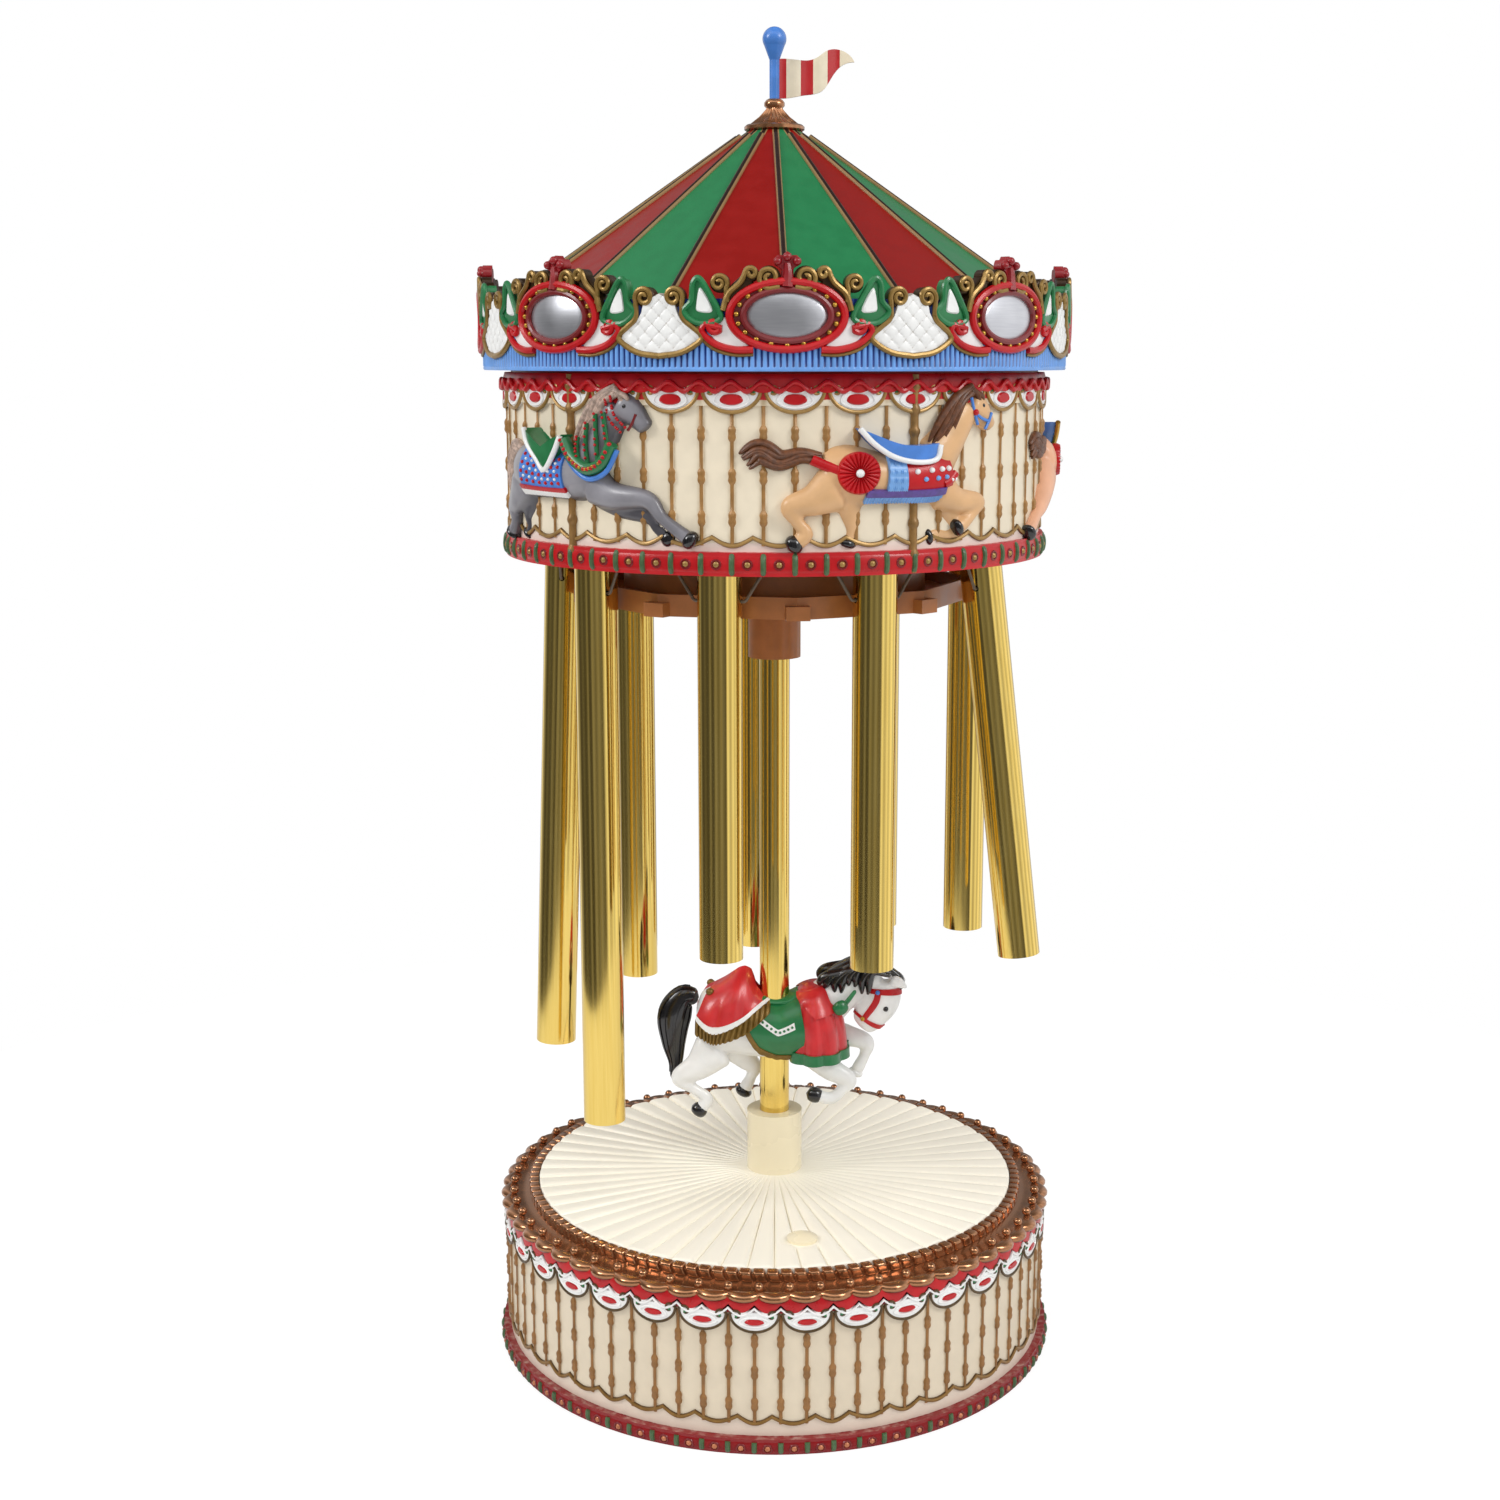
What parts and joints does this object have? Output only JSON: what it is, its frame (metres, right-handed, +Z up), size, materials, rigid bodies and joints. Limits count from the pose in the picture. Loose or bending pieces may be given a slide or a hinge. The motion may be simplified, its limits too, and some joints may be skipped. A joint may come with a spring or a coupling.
{
  "type": "carousel music box",
  "caption": "Table-top carousel music box: hanging brass tube chimes under a drum of relief horses, a horse on a pole, a round base and a turning striped canopy with a flag.",
  "frame": {"origin": "middle of the base, on the surface that it stands on", "axes": "+Z up along the pole, -Y towards the front, +X to the white horse's head"},
  "size_m": [0.1686, 0.1686, 0.387],
  "materials": {
    "base_paint": "painted cream wall, gold bamboo ribs, red foot band",
    "bronze_paint": "rubbed bronze paint",
    "cream_plastic": "moulded satin",
    "brass_tube": "polished",
    "brown_plastic": "moulded satin",
    "floor_plastic": "moulded matt",
    "board_green": "coated board",
    "black_plastic": "moulded matt",
    "wire_rubber": "smooth sleeve",
    "steel": "bright",
    "coil_wire": "lacquered winding",
    "nylon_white": "moulded satin",
    "nylon_cord": "clear monofilament",
    "drum_paint": "painted cream wall, gold bamboo ribs, red bands",
    "crown_paint": "painted ornament on a ribbed blue band",
    "mirror_silver": "brushed silver foil",
    "roof_paint": "painted red and green panels",
    "blue_paint": "painted blue",
    "flag_paint": "painted red and cream stripes",
    "white_paint": "painted white horse with red and green trappings",
    "grey_paint": "painted grey horse",
    "tan_paint": "painted tan horse",
    "peach_paint": "painted peach horse",
    "chestnut_paint": "painted chestnut horse",
    "ivory_paint": "painted ivory horse"
  },
  "bodies": {
    "base": {"base_shell": "base_paint", "base_floor": "floor_plastic", "deck_rim": "bronze_paint", "deck": "cream_plastic", "pole_collar": "cream_plastic", "pole": "brass_tube", "circuit_board": "board_green", "dc_jack": "black_plastic", "wire_loom": "wire_rubber", "drum_shell": "drum_paint", "drum_lid": "brown_plastic", "hanger_plate": "brown_plastic", "drum_posts": "steel", "assembly_screws": "steel", "cord_pegs": "brown_plastic", "solenoid_coils": "coil_wire", "canopy_motor": "steel", "relief_horse_1": "grey_paint", "relief_horse_2": "tan_paint", "relief_horse_3": "peach_paint", "relief_horse_4": "chestnut_paint", "relief_horse_5": "ivory_paint"},
    "canopy": {"crown_band": "crown_paint", "crown_mirrors": "mirror_silver", "roof_shell": "roof_paint", "canopy_gear": "nylon_white", "roof_cap": "bronze_paint", "staff_finial": "blue_paint", "flag": "flag_paint"},
    "pinion": {"drive_pinion": "brass_tube"},
    "horse": {"white_horse": "white_paint"},
    "button": {"start_button": "cream_plastic"},
    "chime_1": {"chime_1": "brass_tube", "chime_cord_1": "nylon_cord"},
    "striker_1": {"striker_1": "steel"},
    "chime_2": {"chime_2": "brass_tube", "chime_cord_2": "nylon_cord"},
    "striker_2": {"striker_2": "steel"},
    "chime_3": {"chime_3": "brass_tube", "chime_cord_3": "nylon_cord"},
    "striker_3": {"striker_3": "steel"},
    "chime_4": {"chime_4": "brass_tube", "chime_cord_4": "nylon_cord"},
    "striker_4": {"striker_4": "steel"},
    "chime_5": {"chime_5": "brass_tube", "chime_cord_5": "nylon_cord"},
    "striker_5": {"striker_5": "steel"},
    "chime_6": {"chime_6": "brass_tube", "chime_cord_6": "nylon_cord"},
    "striker_6": {"striker_6": "steel"},
    "chime_7": {"chime_7": "brass_tube", "chime_cord_7": "nylon_cord"},
    "striker_7": {"striker_7": "steel"},
    "chime_8": {"chime_8": "brass_tube", "chime_cord_8": "nylon_cord"},
    "striker_8": {"striker_8": "steel"},
    "chime_9": {"chime_9": "brass_tube", "chime_cord_9": "nylon_cord"},
    "striker_9": {"striker_9": "steel"}
  },
  "joints": [
    {"name": "canopy_turn", "type": "hinge", "parent": "base", "child": "canopy", "pos_m": [0, 0, 0.293], "axis": [0, 0, 1], "continuous": true},
    {"name": "pinion_turn", "type": "hinge", "parent": "base", "child": "pinion", "pos_m": [0, 0.036, 0.293], "axis": [0, 0, 1], "continuous": true},
    {"name": "horse_slide", "type": "slide", "parent": "base", "child": "horse", "axis": [0, 0, 1], "range_m": [-0.004, 0.04]},
    {"name": "button_press", "type": "slide", "parent": "base", "child": "button", "axis": [0, 0, -1], "range_m": [0, 0.0015], "stiffness_N_per_m": 400, "springref_m": -0.0005},
    {"name": "chime_swing_1", "type": "hinge", "parent": "base", "child": "chime_1", "pos_m": [-0.04922, -0.03603, 0.257], "axis": [-0.5906, 0.807, 0], "range_deg": [-2, 10]},
    {"name": "striker_push_1", "type": "slide", "parent": "base", "child": "striker_1", "axis": [-0.807, -0.5906, 0], "range_m": [0, 0.0025], "stiffness_N_per_m": 40, "springref_m": -0.0005},
    {"name": "chime_swing_2", "type": "hinge", "parent": "base", "child": "chime_2", "pos_m": [-0.06087, 0.00404, 0.257], "axis": [0.0663, 0.9978, 0], "range_deg": [-4.2, 7.8]},
    {"name": "striker_push_2", "type": "slide", "parent": "base", "child": "striker_2", "axis": [-0.9978, 0.0663, 0], "range_m": [0, 0.0025], "stiffness_N_per_m": 40, "springref_m": -0.0005},
    {"name": "chime_swing_3", "type": "hinge", "parent": "base", "child": "chime_3", "pos_m": [-0.04403, 0.04222, 0.257], "axis": [0.6921, 0.7218, 0], "range_deg": [-2, 10]},
    {"name": "striker_push_3", "type": "slide", "parent": "base", "child": "striker_3", "axis": [-0.7218, 0.6921, 0], "range_m": [0, 0.0025], "stiffness_N_per_m": 40, "springref_m": -0.0005},
    {"name": "chime_swing_4", "type": "hinge", "parent": "base", "child": "chime_4", "pos_m": [-0.00659, 0.06064, 0.257], "axis": [0.9942, 0.108, 0], "range_deg": [-2, 10]},
    {"name": "striker_push_4", "type": "slide", "parent": "base", "child": "striker_4", "axis": [-0.108, 0.9942, 0], "range_m": [0, 0.0025], "stiffness_N_per_m": 40, "springref_m": -0.0005},
    {"name": "chime_swing_5", "type": "hinge", "parent": "base", "child": "chime_5", "pos_m": [0.03393, 0.05069, 0.257], "axis": [0.831, -0.5563, 0], "range_deg": [-2, 10]},
    {"name": "striker_push_5", "type": "slide", "parent": "base", "child": "striker_5", "axis": [0.5563, 0.831, 0], "range_m": [0, 0.0025], "stiffness_N_per_m": 40, "springref_m": -0.0005},
    {"name": "chime_swing_6", "type": "hinge", "parent": "base", "child": "chime_6", "pos_m": [0.05858, 0.01702, 0.257], "axis": [0.279, -0.9603, 0], "range_deg": [-2, 10]},
    {"name": "striker_push_6", "type": "slide", "parent": "base", "child": "striker_6", "axis": [0.9603, 0.279, 0], "range_m": [0, 0.0025], "stiffness_N_per_m": 40, "springref_m": -0.0005},
    {"name": "chime_swing_7", "type": "hinge", "parent": "base", "child": "chime_7", "pos_m": [0.05581, -0.02462, 0.257], "axis": [-0.4035, -0.915, 0], "range_deg": [-9, 3]},
    {"name": "striker_push_7", "type": "slide", "parent": "base", "child": "striker_7", "axis": [0.915, -0.4035, 0], "range_m": [0, 0.0025], "stiffness_N_per_m": 40, "springref_m": -0.0005},
    {"name": "chime_swing_8", "type": "hinge", "parent": "base", "child": "chime_8", "pos_m": [0.02693, -0.05473, 0.257], "axis": [-0.8973, -0.4415, 0], "range_deg": [-2, 10]},
    {"name": "striker_push_8", "type": "slide", "parent": "base", "child": "striker_8", "axis": [0.4415, -0.8973, 0], "range_m": [0, 0.0025], "stiffness_N_per_m": 40, "springref_m": -0.0005},
    {"name": "chime_swing_9", "type": "hinge", "parent": "base", "child": "chime_9", "pos_m": [-0.01455, -0.05924, 0.257], "axis": [-0.9711, 0.2385, 0], "range_deg": [-2, 10]},
    {"name": "striker_push_9", "type": "slide", "parent": "base", "child": "striker_9", "axis": [-0.2385, -0.9711, 0], "range_m": [0, 0.0025], "stiffness_N_per_m": 40, "springref_m": -0.0005}
  ],
  "couplings": [
    {"joint": "pinion_turn", "follows": "canopy_turn", "ratio": -5}
  ]
}
